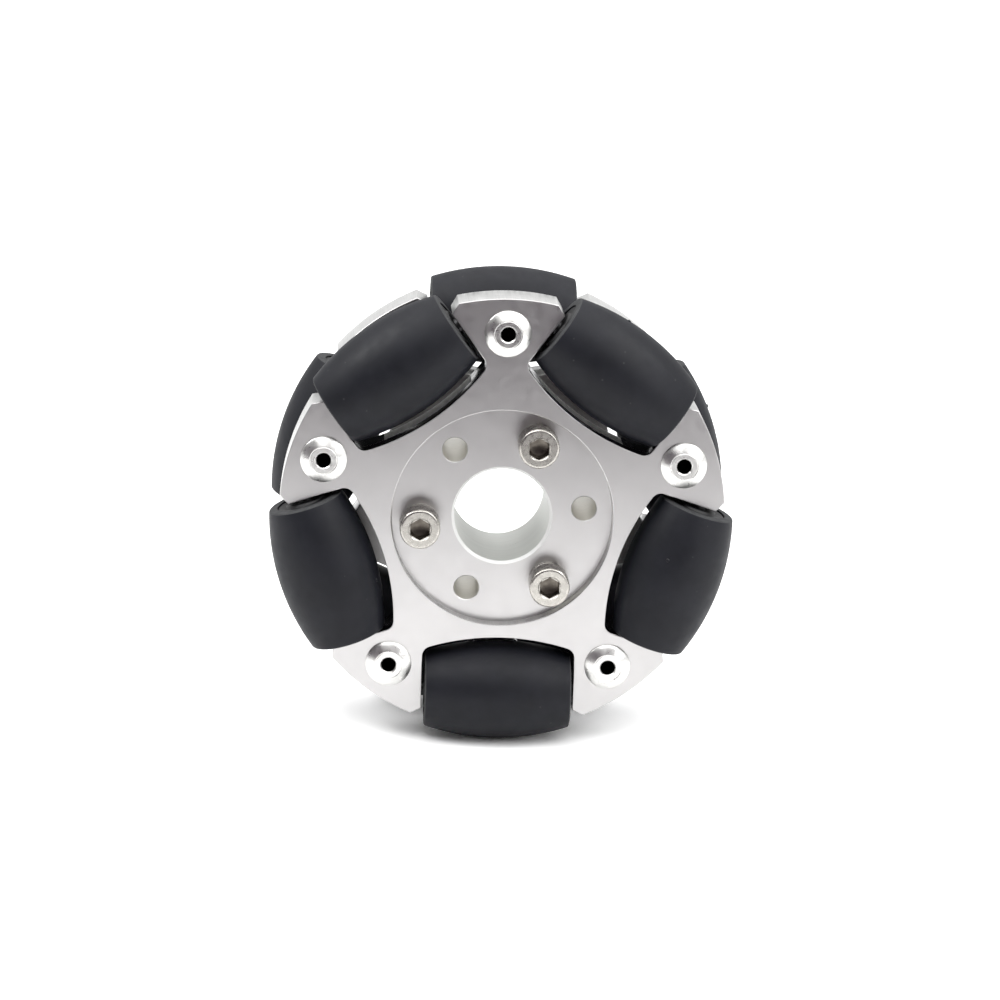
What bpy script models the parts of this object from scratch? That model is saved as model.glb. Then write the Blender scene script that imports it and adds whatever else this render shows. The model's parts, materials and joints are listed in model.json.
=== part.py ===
"""Double-row omni wheel: two clamped aluminium rows, five barrel rollers in each.

The wheel turns about +Y and stands on its rollers, +Z up, with its centre at the origin.
Each row is drawn in its own frame: x to the right, y up, z out of the wheel, z = 0 at the
mid-plane between the rows.  The front row faces -Y.  The back row is the same row turned over
about an in-plane axis, so that its arms lie behind the front rollers and the hub holes line up.
All lengths are in metres, and angles in an outline run clockwise from up.
"""
import math

import bmesh
import bpy
from mathutils import Matrix, Vector

# Whole wheel
WHEEL_RADIUS = 0.0300            # over the rollers
ROLLERS_PER_ROW = 5
PITCH = 360 / ROLLERS_PER_ROW    # degrees from one roller to the next
ROW_OFFSET = 0.0066              # mid-plane to the plane of a row's axles
TURN_OVER_ANGLE = 54             # in-plane axis that carries the front row to the back row
GAP = 0.0003                     # between pieces that touch on the real wheel

# Rollers
ROLLER_AXIS_RADIUS = 0.0236
ROLLER_RADIUS = WHEEL_RADIUS - ROLLER_AXIS_RADIUS
ROLLER_LENGTH = 0.01896
TYRE_EDGE_ROUND = 0.0003
CORE_RADIUS = 0.0036
CORE_LENGTH = 0.0180
CORE_BOSS_RADIUS = 0.0024
CORE_BOSS_STAND_OUT = 0.0001     # boss past the end of the tyre
AXLE_RADIUS = 0.0010
AXLE_LENGTH = 0.0248
RUNNING_CLEARANCE = 0.0001       # core bore over the axle, on the radius

# Row outline
TIP_RADIUS = 0.02865
POCKET_HALF_WIDTH = 0.00985
POCKET_CLEARANCE = 0.00123       # pocket floor to the barrel
POCKET_FILLET = 0.0013
TIP_CUT_ALONG_WALL = 0.00125
TIP_CUT_ACROSS = 0.00145

# Row thicknesses, all measured out from the mid-plane
FACE = 0.0089
ARM_BACK = 0.0029
HUB_FLOOR = 0.0072
HUB_RADIUS = 0.01395
RECESS_RADIUS = HUB_RADIUS + GAP

# Hub holes
BORE_RADIUS = 0.00615
BORE_CHAMFER = 0.00035
HOLE_CIRCLE_RADIUS = 0.01063
HUB_HOLE_RADIUS = 0.00160
HUB_HOLES = 6
FIRST_HUB_HOLE = 24              # degrees; every second hole from here takes a screw
SCREWS = 3

# Pop rivets, one through each arm
RIVET_CIRCLE_RADIUS = 0.0242
RIVET_FLANGE_RADIUS = 0.0030
RIVET_DOME = 0.0009
RIVET_SHOULDER_RADIUS = 0.00255
RIVET_SHOULDER_HEIGHT = 0.0004
RIVET_SHANK_RADIUS = 0.0015
RIVET_BORE_RADIUS = 0.0009
RIVET_BORE_DEPTH = 0.0040
RIVET_BULB_RADIUS = 0.0023
RIVET_BULB_END_RADIUS = 0.0018
RIVET_BULB_HEIGHT = 0.0011
RIVET_LIP_RADIUS = 0.0017
RIVET_LIP_HEIGHT = 0.0002

# Cap screws, spring washers and nuts
SCREW_HEAD_RADIUS = 0.0026
SCREW_HEAD_TOP = 0.0108
SCREW_HEAD_EDGE = 0.0003
SCREW_SHANK_RADIUS = 0.0013
SCREW_END = -0.0106
SOCKET_ACROSS_FLATS = 0.0025
SOCKET_DEPTH = 0.0014
WASHER_THICKNESS = 0.0006
WASHER_BORE_RADIUS = 0.0017
WASHER_SPLIT = 0.0005
NUT_ACROSS_FLATS = 0.0055
NUT_HEIGHT = 0.0022

# Mesh resolution
TYRE_SEGMENTS = 20
TYRE_STEPS = 6
SMALL_SEGMENTS = 12
HUB_SEGMENTS = 40
FILLET_STEPS = 4
ARCH_STEPS = 5
TIP_STEPS = 6
MERGE = 0.000001
SHARP_ANGLE = math.radians(35)
OVERCUT = 0.001                  # how far a cutter runs past a face
EMPTY_SIZE = 0.005

# Colour, roughness and metallic value
MATERIALS = {
    "aluminium": ((0.74, 0.73, 0.75), 0.38, 1.0),
    "rivet_metal": ((0.86, 0.86, 0.86), 0.18, 1.0),
    "steel": ((0.66, 0.64, 0.60), 0.28, 1.0),
    "rubber": ((0.022, 0.022, 0.025), 0.55, 0.0),
    "nylon": ((0.05, 0.05, 0.05), 0.50, 0.0),
}


def start_clean():
    """Remove whatever the file holds and make the two collections."""
    for obj in list(bpy.data.objects):
        bpy.data.objects.remove(obj, do_unlink=True)
    parts = bpy.data.collections.new("omni_wheel")
    cutters = bpy.data.collections.new("cutters")
    for collection in (parts, cutters):
        bpy.context.scene.collection.children.link(collection)
    return parts, cutters


def make_material(name, base):
    """Make one Principled material from an entry of MATERIALS."""
    colour, roughness, metallic = MATERIALS[base]
    material = bpy.data.materials.new(name)
    material.use_nodes = True
    shader = material.node_tree.nodes["Principled BSDF"]
    shader.inputs["Base Color"].default_value = (*colour, 1.0)
    shader.inputs["Roughness"].default_value = roughness
    shader.inputs["Metallic"].default_value = metallic
    return material


def add_object(name, mesh, collection, parent=None, matrix=Matrix(), base=None):
    """Put a mesh in a collection, under a parent, with its own material if it is a part."""
    obj = bpy.data.objects.new(name, mesh)
    collection.objects.link(obj)
    obj.parent = parent
    obj.matrix_local = matrix
    if base:
        if not mesh.materials:
            mesh.materials.append(None)
        obj.material_slots[0].link = "OBJECT"
        obj.material_slots[0].material = make_material(name, base)
    else:
        obj.hide_render = True
        obj.display_type = "WIRE"
    return obj


def add_empty(name, matrix, parent=None):
    """A frame to hang pieces on."""
    empty = bpy.data.objects.new(name, None)
    PARTS.objects.link(empty)
    empty.empty_display_size = EMPTY_SIZE
    empty.parent = parent
    empty.matrix_local = matrix
    return empty


def finished_mesh(obj):
    """The object's mesh with its modifiers, welded; the object itself is removed."""
    evaluated = obj.evaluated_get(bpy.context.evaluated_depsgraph_get())
    mesh = bpy.data.meshes.new_from_object(evaluated)
    shape = bmesh.new()
    shape.from_mesh(mesh)
    bmesh.ops.remove_doubles(shape, verts=shape.verts, dist=MERGE)
    shape.to_mesh(mesh)
    shape.free()
    mesh.name = obj.name
    bpy.data.objects.remove(obj, do_unlink=True)
    return mesh


def smooth(mesh):
    """Smooth shading that keeps the real edges sharp."""
    mesh.shade_smooth()
    mesh.set_sharp_from_angle(angle=SHARP_ANGLE)


def turned_mesh(name, profile, segments, closed):
    """Turn an (r, z) profile about Z; its outer side runs from top to bottom."""
    count = len(profile)
    edges = [(i, i + 1) for i in range(count - 1)]
    if closed:
        edges.append((count - 1, 0))
    mesh = bpy.data.meshes.new(name)
    mesh.from_pydata([(r, 0, z) for r, z in profile], edges, [])
    obj = bpy.data.objects.new(name, mesh)
    PARTS.objects.link(obj)
    screw = obj.modifiers.new("turn", "SCREW")
    screw.steps = segments
    screw.render_steps = segments
    screw.use_merge_vertices = True
    screw.merge_threshold = MERGE
    turned = finished_mesh(obj)
    smooth(turned)
    return turned


def extruded_mesh(name, outlines, low, high):
    """Extrude closed outlines in the XY plane from z = low to z = high; inner ones are holes."""
    curve = bpy.data.curves.new(name, "CURVE")
    curve.dimensions = "2D"
    curve.fill_mode = "BOTH"
    curve.extrude = (high - low) / 2
    for outline in outlines:
        spline = curve.splines.new("POLY")
        spline.points.add(len(outline) - 1)
        for point, (x, y) in zip(spline.points, outline):
            point.co = (x, y, 0, 1)
        spline.use_cyclic_u = True
    obj = bpy.data.objects.new(name, curve)
    PARTS.objects.link(obj)
    mesh = finished_mesh(obj)
    mesh.transform(Matrix.Translation((0, 0, (low + high) / 2)))
    return mesh


def joined_copies(name, mesh, matrices):
    """One mesh that holds a separate copy of a body at each matrix."""
    shape = bmesh.new()
    for matrix in matrices:
        copy = mesh.copy()
        copy.transform(matrix)
        shape.from_mesh(copy)
        bpy.data.meshes.remove(copy)
    joined = bpy.data.meshes.new(name)
    shape.to_mesh(joined)
    shape.free()
    return joined


def rod_mesh(name, radius, low, high, segments):
    """A closed rod along Z."""
    return turned_mesh(name, [(0, high), (radius, high), (radius, low), (0, low)], segments, False)


def polar(radius, degrees, z=0.0):
    """A point at an angle clockwise from up, in a row's frame."""
    angle = math.radians(degrees)
    return Vector((radius * math.sin(angle), radius * math.cos(angle), z))


def ring(radius, first, count):
    """Matrices that carry a body to evenly spaced places on a circle."""
    return [Matrix.Translation(polar(radius, first + 360 / count * i)) for i in range(count)]


def roller_matrix(index):
    """Frame of a roller: origin at its middle, x outwards, z along its axle."""
    angle = math.radians(PITCH * (index + 0.5))
    radial = Vector((math.sin(angle), math.cos(angle), 0))
    along = Vector((math.cos(angle), -math.sin(angle), 0))
    out = Vector((0, 0, 1))
    matrix = Matrix((radial, out, along)).transposed().to_4x4()
    matrix.translation = radial * ROLLER_AXIS_RADIUS + out * ROW_OFFSET
    return matrix


def cut(obj, cutter, operation="DIFFERENCE"):
    """Add an exact Boolean to a part."""
    boolean = obj.modifiers.new(cutter.name, "BOOLEAN")
    boolean.solver = "EXACT"
    boolean.operation = operation
    boolean.object = cutter


def pocket_outline():
    """Half a pocket in (across, outwards) coordinates, from the arm's tip to its middle."""
    arch_centre = 2 * ROLLER_AXIS_RADIUS - POCKET_CLEARANCE
    wall_top = math.sqrt(TIP_RADIUS ** 2 - POCKET_HALF_WIDTH ** 2) - TIP_CUT_ALONG_WALL
    cut_across = POCKET_HALF_WIDTH + TIP_CUT_ACROSS
    points = [(-cut_across, math.sqrt(TIP_RADIUS ** 2 - cut_across ** 2)),
              (-POCKET_HALF_WIDTH, wall_top)]
    across = POCKET_HALF_WIDTH - POCKET_FILLET
    reach = WHEEL_RADIUS - POCKET_FILLET
    centre = (-across, arch_centre - math.sqrt(reach ** 2 - across ** 2))
    last = math.acos(across / reach)
    for i in range(FILLET_STEPS):
        angle = last * i / FILLET_STEPS
        points.append((centre[0] - POCKET_FILLET * math.cos(angle),
                       centre[1] - POCKET_FILLET * math.sin(angle)))
    spread = math.pi / 2 - last
    for i in range(ARCH_STEPS + 1):
        angle = spread * (1 - i / ARCH_STEPS)
        points.append((-WHEEL_RADIUS * math.sin(angle),
                       arch_centre - WHEEL_RADIUS * math.cos(angle)))
    return points


def row_outline():
    """The five-armed outline of a row, clockwise from the middle of the top arm."""
    half = pocket_outline()
    whole = half + [(-across, out) for across, out in reversed(half[:-1])]
    edge = math.degrees(math.atan2(-half[0][0], half[0][1]))
    outline = []
    for index in range(ROLLERS_PER_ROW):
        middle = PITCH * (index + 0.5)
        angle = math.radians(middle)
        for across, out in whole:
            outline.append((out * math.sin(angle) + across * math.cos(angle),
                            out * math.cos(angle) - across * math.sin(angle)))
        gap_between = PITCH - 2 * edge
        for i in range(1, TIP_STEPS):
            outline.append(polar(TIP_RADIUS, middle + edge + gap_between * i / TIP_STEPS)[:2])
    return outline


def circle(radius, segments):
    """A round outline about the centre."""
    return [polar(radius, 360 * i / segments)[:2] for i in range(segments)]


def shifted(outline, offset):
    """An outline moved to another centre."""
    return [(x + offset.x, y + offset.y) for x, y in outline]


def tyre_mesh():
    """Rubber barrel: the outer side follows the wheel's own circle."""
    half = ROLLER_LENGTH / 2
    flat = half - TYRE_EDGE_ROUND
    end_radius = math.sqrt(WHEEL_RADIUS ** 2 - half ** 2) - ROLLER_AXIS_RADIUS - TYRE_EDGE_ROUND
    profile = [(end_radius, half)]
    for i in range(TYRE_STEPS + 1):
        z = flat - 2 * flat * i / TYRE_STEPS
        profile.append((math.sqrt(WHEEL_RADIUS ** 2 - z ** 2) - ROLLER_AXIS_RADIUS, z))
    profile.append((end_radius, -half))
    bore = CORE_RADIUS + GAP
    profile += [(bore, -half), (bore, half)]
    return turned_mesh("tyre", profile, TYRE_SEGMENTS, True)


def core_mesh():
    """Nylon tube under the tyre, with a thrust boss at each end and a plain bore for the axle."""
    half = CORE_LENGTH / 2
    end = ROLLER_LENGTH / 2 + CORE_BOSS_STAND_OUT
    bore = AXLE_RADIUS + RUNNING_CLEARANCE
    profile = [(CORE_BOSS_RADIUS, end), (CORE_BOSS_RADIUS, half), (CORE_RADIUS, half)]
    profile += [(r, -z) for r, z in reversed(profile)]
    profile += [(bore, -end), (bore, end)]
    return turned_mesh("core", profile, SMALL_SEGMENTS, True)


def rivet_mesh():
    """Pop rivet along Z with its flange just off the face and its bulb behind the arm."""
    seat = FACE + GAP
    top = seat + RIVET_DOME
    back = ARM_BACK - GAP
    bulb_low = back - RIVET_BULB_HEIGHT
    profile = [(0, top - RIVET_BORE_DEPTH), (RIVET_BORE_RADIUS, top - RIVET_BORE_DEPTH),
               (RIVET_BORE_RADIUS, top), (RIVET_LIP_RADIUS, top - RIVET_LIP_HEIGHT),
               (RIVET_SHOULDER_RADIUS, seat + RIVET_SHOULDER_HEIGHT),
               (RIVET_FLANGE_RADIUS, seat + RIVET_LIP_HEIGHT), (RIVET_FLANGE_RADIUS, seat),
               (RIVET_SHANK_RADIUS, seat), (RIVET_SHANK_RADIUS, back),
               (RIVET_BULB_RADIUS, back), (RIVET_BULB_END_RADIUS, bulb_low), (0, bulb_low)]
    return turned_mesh("rivet", profile, SMALL_SEGMENTS, False)


def hexagon(across_flats):
    """A hexagonal outline with a corner upwards."""
    return circle(across_flats / math.sqrt(3), 6)


def screw_mesh():
    """Socket cap screw along Z through both rows, without its socket."""
    under = HUB_FLOOR + WASHER_THICKNESS + 2 * GAP
    profile = [(0, SCREW_HEAD_TOP), (SCREW_HEAD_RADIUS - SCREW_HEAD_EDGE, SCREW_HEAD_TOP),
               (SCREW_HEAD_RADIUS, SCREW_HEAD_TOP - SCREW_HEAD_EDGE), (SCREW_HEAD_RADIUS, under),
               (SCREW_SHANK_RADIUS, under), (SCREW_SHANK_RADIUS, SCREW_END), (0, SCREW_END)]
    return turned_mesh("screw", profile, SMALL_SEGMENTS, False)


def drill_mesh():
    """Everything that is bored through a row: shaft bore, hub holes and rivet holes."""
    low = -OVERCUT
    high = FACE + OVERCUT
    flare = BORE_RADIUS + BORE_CHAMFER + OVERCUT
    bore = turned_mesh("bore", [(0, HUB_FLOOR + OVERCUT), (flare, HUB_FLOOR + OVERCUT),
                                (BORE_RADIUS, HUB_FLOOR - BORE_CHAMFER), (BORE_RADIUS, low),
                                (0, low)], HUB_SEGMENTS, False)
    hole = rod_mesh("hole", HUB_HOLE_RADIUS, low, high, SMALL_SEGMENTS)
    rivet_hole = rod_mesh("rivet_hole", RIVET_SHANK_RADIUS + GAP, low, high, SMALL_SEGMENTS)
    holes = joined_copies("holes", hole, ring(HOLE_CIRCLE_RADIUS, FIRST_HUB_HOLE, HUB_HOLES))
    rivet_holes = joined_copies("rivet_holes", rivet_hole,
                                ring(RIVET_CIRCLE_RADIUS, 0, ROLLERS_PER_ROW))
    shape = bmesh.new()
    for mesh in (bore, holes, rivet_holes):
        shape.from_mesh(mesh)
    drills = bpy.data.meshes.new("drills")
    shape.to_mesh(drills)
    shape.free()
    return drills


def groove_mesh():
    """Grooves for the five axles, split between the body and the cover plate."""
    half = AXLE_LENGTH / 2 + GAP
    rod = rod_mesh("groove", AXLE_RADIUS + GAP, -half, half, SMALL_SEGMENTS)
    return joined_copies("grooves", rod, [roller_matrix(i) for i in range(ROLLERS_PER_ROW)])


def build_row(side, frame, shared):
    """One row: hub body, cover plate, rivets and five rollers on their axles."""
    row = add_empty(side + "_row", frame)
    drills = add_object(side + "_drills", shared["drills"], CUTTERS, row)
    grooves = add_object(side + "_grooves", shared["grooves"], CUTTERS, row)
    hub = add_object(side + "_hub_blank", shared["hub"], CUTTERS, row)

    body = add_object(side + "_hub_body", shared["body"], PARTS, row, base="aluminium")
    cut(body, hub, "UNION")
    cut(body, drills)
    cut(body, grooves)
    cover = add_object(side + "_cover_plate", shared["cover"], PARTS, row, base="aluminium")
    cut(cover, grooves)
    for index, place in enumerate(ring(RIVET_CIRCLE_RADIUS, 0, ROLLERS_PER_ROW)):
        add_object(f"{side}_rivet_{index + 1}", shared["rivet"], PARTS, row, place, "rivet_metal")

    for index in range(ROLLERS_PER_ROW):
        name = f"{side}_roller_{index + 1}"
        axis = add_empty(name, roller_matrix(index), row)
        add_object(name + "_tyre", shared["tyre"], PARTS, axis, base="rubber")
        add_object(name + "_core", shared["core"], PARTS, axis, base="nylon")
        add_object(name + "_axle", shared["axle"], PARTS, axis, base="steel")


def build_fasteners(frame):
    """Three cap screws with spring washers and nuts that clamp the two rows together."""
    places = ring(HOLE_CIRCLE_RADIUS, FIRST_HUB_HOLE, SCREWS)
    clamp = add_empty("clamp", frame)

    socket = extruded_mesh("socket", [hexagon(SOCKET_ACROSS_FLATS)],
                           SCREW_HEAD_TOP - SOCKET_DEPTH, SCREW_HEAD_TOP + OVERCUT)
    sockets = add_object("sockets", joined_copies("sockets", socket, places), CUTTERS, clamp)
    low = HUB_FLOOR + GAP
    high = low + WASHER_THICKNESS
    half = WASHER_SPLIT / 2
    slot_end = 2 * SCREW_HEAD_RADIUS
    slot = extruded_mesh("slot", [[(0, -half), (slot_end, -half), (slot_end, half), (0, half)]],
                         low - GAP, high + OVERCUT)
    slots = add_object("washer_slots", joined_copies("slots", slot, places), CUTTERS, clamp)

    screw = screw_mesh()
    washer = turned_mesh("washer", [(SCREW_HEAD_RADIUS, high), (SCREW_HEAD_RADIUS, low),
                                    (WASHER_BORE_RADIUS, low), (WASHER_BORE_RADIUS, high)],
                         SMALL_SEGMENTS, True)
    nut_top = -HUB_FLOOR - GAP
    nut = extruded_mesh("nut", [hexagon(NUT_ACROSS_FLATS), circle(WASHER_BORE_RADIUS, SMALL_SEGMENTS)],
                        nut_top - NUT_HEIGHT, nut_top)
    for index, place in enumerate(places):
        number = index + 1
        screw_object = add_object(f"clamp_screw_{number}", screw, PARTS, clamp, place, "steel")
        cut(screw_object, sockets)
        washer_object = add_object(f"spring_washer_{number}", washer, PARTS, clamp, place, "steel")
        cut(washer_object, slots)
        add_object(f"clamp_nut_{number}", nut, PARTS, clamp, place, "steel")


def row_meshes():
    """The meshes that both rows share."""
    outline = row_outline()
    rivet_circle = circle(RIVET_SHANK_RADIUS + GAP, SMALL_SEGMENTS)
    cover_outlines = [outline, circle(RECESS_RADIUS, HUB_SEGMENTS)]
    for index in range(ROLLERS_PER_ROW):
        cover_outlines.append(shifted(rivet_circle, polar(RIVET_CIRCLE_RADIUS, PITCH * index)))
    half_gap = GAP / 2
    half_axle = AXLE_LENGTH / 2
    return {
        "body": extruded_mesh("hub_body", [outline], ARM_BACK, ROW_OFFSET - half_gap),
        "hub": rod_mesh("hub_blank", HUB_RADIUS, half_gap, HUB_FLOOR, HUB_SEGMENTS),
        "cover": extruded_mesh("cover_plate", cover_outlines, ROW_OFFSET + half_gap, FACE),
        "drills": drill_mesh(),
        "grooves": groove_mesh(),
        "rivet": rivet_mesh(),
        "tyre": tyre_mesh(),
        "core": core_mesh(),
        "axle": rod_mesh("axle", AXLE_RADIUS, -half_axle, half_axle, SMALL_SEGMENTS),
    }


PARTS, CUTTERS = start_clean()
FRONT_FRAME = Matrix.Rotation(math.pi / 2, 4, "X")
TURN_ANGLE = math.radians(TURN_OVER_ANGLE)
TURN_AXIS = Vector((math.sin(TURN_ANGLE), 0, math.cos(TURN_ANGLE)))
BACK_FRAME = Matrix.Rotation(math.pi, 4, TURN_AXIS) @ FRONT_FRAME
SHARED = row_meshes()
build_row("front", FRONT_FRAME, SHARED)
build_row("back", BACK_FRAME, SHARED)
build_fasteners(FRONT_FRAME)
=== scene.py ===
"""Looks for the double-row omni wheel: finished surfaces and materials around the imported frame.

All lengths are in metres and all angles in degrees unless they say otherwise.  A row's pieces are
drawn in the row's own frame: x to the right, y up, z out of the wheel, z = 0 at the mid-plane between
the rows.  The back row is the front row turned over about an in-plane axis.  A roller's pieces are
drawn about Z, with x pointing out of the wheel.  Meshes are then moved into the wheel's frame, and an
attribute keeps where each point was as it was drawn, for the materials.
"""
import json
import math

import bmesh
import bpy
from mathutils import Matrix, Vector


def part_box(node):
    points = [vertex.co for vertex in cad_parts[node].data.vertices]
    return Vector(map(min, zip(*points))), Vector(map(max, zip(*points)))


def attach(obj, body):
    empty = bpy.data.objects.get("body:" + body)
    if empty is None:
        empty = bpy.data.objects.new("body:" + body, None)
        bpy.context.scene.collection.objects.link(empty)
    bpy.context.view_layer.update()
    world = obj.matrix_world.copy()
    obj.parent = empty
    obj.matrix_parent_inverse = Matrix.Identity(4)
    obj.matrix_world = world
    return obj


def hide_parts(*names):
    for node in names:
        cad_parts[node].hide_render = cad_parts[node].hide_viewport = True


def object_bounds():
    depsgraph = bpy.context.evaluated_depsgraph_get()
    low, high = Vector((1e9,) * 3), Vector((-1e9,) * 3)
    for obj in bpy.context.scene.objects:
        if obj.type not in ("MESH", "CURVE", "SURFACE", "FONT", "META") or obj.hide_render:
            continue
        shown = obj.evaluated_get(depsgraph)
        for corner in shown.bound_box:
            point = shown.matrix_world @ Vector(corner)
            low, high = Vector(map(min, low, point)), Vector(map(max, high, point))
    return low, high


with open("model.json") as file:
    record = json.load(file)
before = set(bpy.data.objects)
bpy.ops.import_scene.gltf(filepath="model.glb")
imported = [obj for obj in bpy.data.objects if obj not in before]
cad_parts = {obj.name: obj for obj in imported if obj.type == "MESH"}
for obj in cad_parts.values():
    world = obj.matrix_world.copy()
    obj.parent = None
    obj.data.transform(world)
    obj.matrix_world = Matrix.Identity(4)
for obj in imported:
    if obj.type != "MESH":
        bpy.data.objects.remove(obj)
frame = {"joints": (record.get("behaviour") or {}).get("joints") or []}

CAD_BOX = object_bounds()
JOINTS = {joint["child"]: joint for joint in frame["joints"]}
FIRST_ROLLER = Vector(JOINTS["front_roller_1"]["pos_m"])

# Whole wheel
WHEEL_RADIUS = CAD_BOX[1].z
ARMS = 5
PITCH = 360 / ARMS                # degrees
ROW_OFFSET = -FIRST_ROLLER.y      # mid-plane to the plane of a row's axles
TURN_OVER_ANGLE = 54              # in-plane axis that carries the front row to the back row
SEAM = 0.00001                    # half the seam between clamped pieces

# Rollers
AXIS_RADIUS = math.hypot(FIRST_ROLLER.x, FIRST_ROLLER.z)
ROLLER_HALF = 0.00948
TYRE_EDGE = 0.0003
TYRE_BORE = 0.0037
CORE_HALF = 0.0093
CORE_BOSS_RADIUS = 0.0024
CORE_BOSS_END = ROLLER_HALF + 0.0001
CORE_EDGE = 0.00015
AXLE_RADIUS = 0.0010
AXLE_HALF = 0.0124
AXLE_CHAMFER = 0.0002
RUNNING_CLEARANCE = 0.00005
END_PLAY = 0.00024
NUB_RADIUS = 0.00024
NUB_TOP_RADIUS = NUB_RADIUS * 0.8
NUB_HEIGHT = 0.00014
NUB_ALONG = -0.0028               # the moulding gate's place along the barrel

# Row outline
TIP_RADIUS = 0.02865
POCKET_HALF_WIDTH = 0.00985
POCKET_CLEARANCE = 0.00123
POCKET_FILLET = 0.0013
TIP_CUT_ALONG_WALL = 0.00125
TIP_CUT_ACROSS = 0.00145
PLATE_EDGE = 0.00010              # rounding of the plates' edges

# Row thicknesses, out from the mid-plane
FACE = -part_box("front_cover_plate")[0].y
HUB_FLOOR = -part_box("front_hub_body")[0].y
ARM_BACK = 0.0029
RECESS_RADIUS = 0.01425

# Hub holes
BORE_RADIUS = 0.00615
BORE_CHAMFER = 0.00035
HOLE_CIRCLE_RADIUS = 0.01063
HUB_HOLE_RADIUS = 0.00160
HUB_HOLE_CHAMFER = 0.0001
HUB_HOLES = 6
FIRST_HUB_HOLE = 24
SCREWS = 3

# Pop rivets
RIVET_CIRCLE_RADIUS = 0.0242
RIVET_FLANGE_RADIUS = 0.0030
RIVET_SHANK_RADIUS = 0.0015
RIVET_RING_RADIUS = 0.00172
RIVET_BORE_RADIUS = 0.00093
RIVET_BORE_DEPTH = 0.0042
RIVET_HEIGHT = 0.0009
RIVET_RING_EDGE = 0.00007         # chamfer of the flat ring round the hole
RIVET_RING_SINK = 0.00004         # how far the ring lies below the rivet's top
RIVET_GROOVE_DEPTH = 0.00010      # the fine groove between ring and flange
RIVET_CREST = (0.00009, 0.00002)  # the flange's crest: out from the groove, below the rivet's top
RIVET_MOUTH_SLOPE = 0.00016       # the sloped mouth of the hole
RIVET_RIM_HEIGHT = 0.00022        # thickness of the flange at its edge
RIVET_SHOULDER = (0.0004, 0.00046)  # where the flange's cone bends: in from its edge, up from its seat
BULB_RADIUS = 0.0023
BULB_HEIGHT = 0.0008
BULB_NECK_RADIUS = 0.0011
BULB_TIP_RADIUS = 0.0009
BULB_TIP_HEIGHT = 0.0011

# Screws, spring washers and nuts
SCREW_RADIUS = 0.0015
THREAD_PITCH = 0.0005
THREAD_DEPTH = 0.00028
THREAD_LAP = 0.0004               # how far the thread reaches into the plain shank
PLAIN_SHANK_END = -HUB_FLOOR + 0.0015
SCREW_END = -0.0106
HEAD_RADIUS = 0.0026
HEAD_TOP = 0.0108
HEAD_HEIGHT = 0.0028
HEAD_ROUNDING = 0.00035
SOCKET_ACROSS_FLATS = 0.0025
SOCKET_DEPTH = 0.0015
SOCKET_MOUTH = 0.00012
PIT_RADIUS = SOCKET_ACROSS_FLATS * 0.46
PIT_WALL = 0.0001                 # the drilled pit under the socket: its wall, then its cone
PIT_CONE = 0.0005
WASHER_THICKNESS = 0.0006
WASHER_BORE = 0.0016
WASHER_INSET = 0.00004
WASHER_OUTER_EDGE = 0.00012
WASHER_INNER_EDGE = 0.0001
WASHER_SPLIT = 14                 # degrees
NUT_ACROSS_FLATS = 0.0055
NUT_HEIGHT = 0.0022
NUT_FACE_SHARE = 0.97             # the round face of a nut, as a share of its width
NUT_CHAMFER_ANGLE = 30            # degrees
NUT_SINK = 0.0003
FINE_EDGE = 0.00002               # rounding of the nuts' and sockets' edges

# Mesh resolution
ROUND_SEGMENTS = 96
SMALL_SEGMENTS = 64
ARC_STEP = math.radians(12)
MERGE = 0.0000005
SHARP_ANGLE = math.radians(32)
FLAT_COSINE = 0.99999             # faces flatter than this across Z are shaded flat
OVERCUT = 0.001
ARCH_SHARE = 0.66                 # how much of a pocket's arch, at its middle, gets painted light
UPRIGHT = 0.3                     # a wall's normal leans less than this out of the plate's plane
LEVEL = 0.95                      # a flat face's normal leans more than this

# The view
CAMERA_LENS = 108                 # millimetres
CAMERA_SENSOR = 36                # millimetres
CAMERA_ELEVATION = 14.66          # degrees
CAMERA_AZIMUTH = -2.575           # degrees
CAMERA_DISTANCE = 0.393155
CAMERA_SIDE = 0.000082
CAMERA_RISE = 0.000189
WHEEL_SPIN = 1.6945               # degrees

# The studio
DIM_SIDE = (-0.30, -0.95, 0.05)   # the way to the middle of the dim part of the room
DIM_OUTER = 75                    # degrees
DIM_INNER = 30                    # degrees
ROOM_BRIGHT = 0.80
ROOM_DIM = 0.06
BACKDROP = 1.0                    # the room's brightness to the camera
TOP_STRENGTH = 2.15
TOP_SPREAD = 86                   # degrees
SIDE_PLACE = (0.34, -0.36, 0.26)
SIDE_SIZE = 0.32
SIDE_POWER = 1.0
RIM_PLACE = (0.34, -0.05, 0.36)
RIM_SIZE = 0.18
LEFT_RIM_POWER = 1.15
RIGHT_RIM_POWER = 0.62
FILL_PLACE = (-0.04, -0.20, 0.24)
FILL_SIZE = 0.16
FILL_POWER = 0.15
FLOOR_HALF = 3.0
FLOOR_LIFT = 1.3                  # how much brighter the floor is to the camera
FLAG_DISTANCE = 0.137
FLAG_TOP = 0.10
FLAG_LEFT = -0.25
FLAG_RIGHT = 0.10

# How far each roller has turned, in turns, and slid down its axle in its end play
NUB_TURNS = {"front": (0.0, 0.3083, 0.58, 0.44, 0.63), "back": (0.0, 0.41, 0.55, 0.61, 0.35)}
ROLLER_SLIDES = {"front": (END_PLAY, END_PLAY, 0, -END_PLAY, -END_PLAY),
                 "back": (0, 0, 0, -END_PLAY, END_PLAY)}

# Where each washer's split points, in degrees
WASHER_TURNS = (200, 75, 310)


# ---------------------------------------------------------------- meshes

def polar(radius, degrees, z=0.0):
    """A point at an angle clockwise from up, in a row's frame."""
    angle = math.radians(degrees)
    return Vector((radius * math.sin(angle), radius * math.cos(angle), z))


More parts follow.
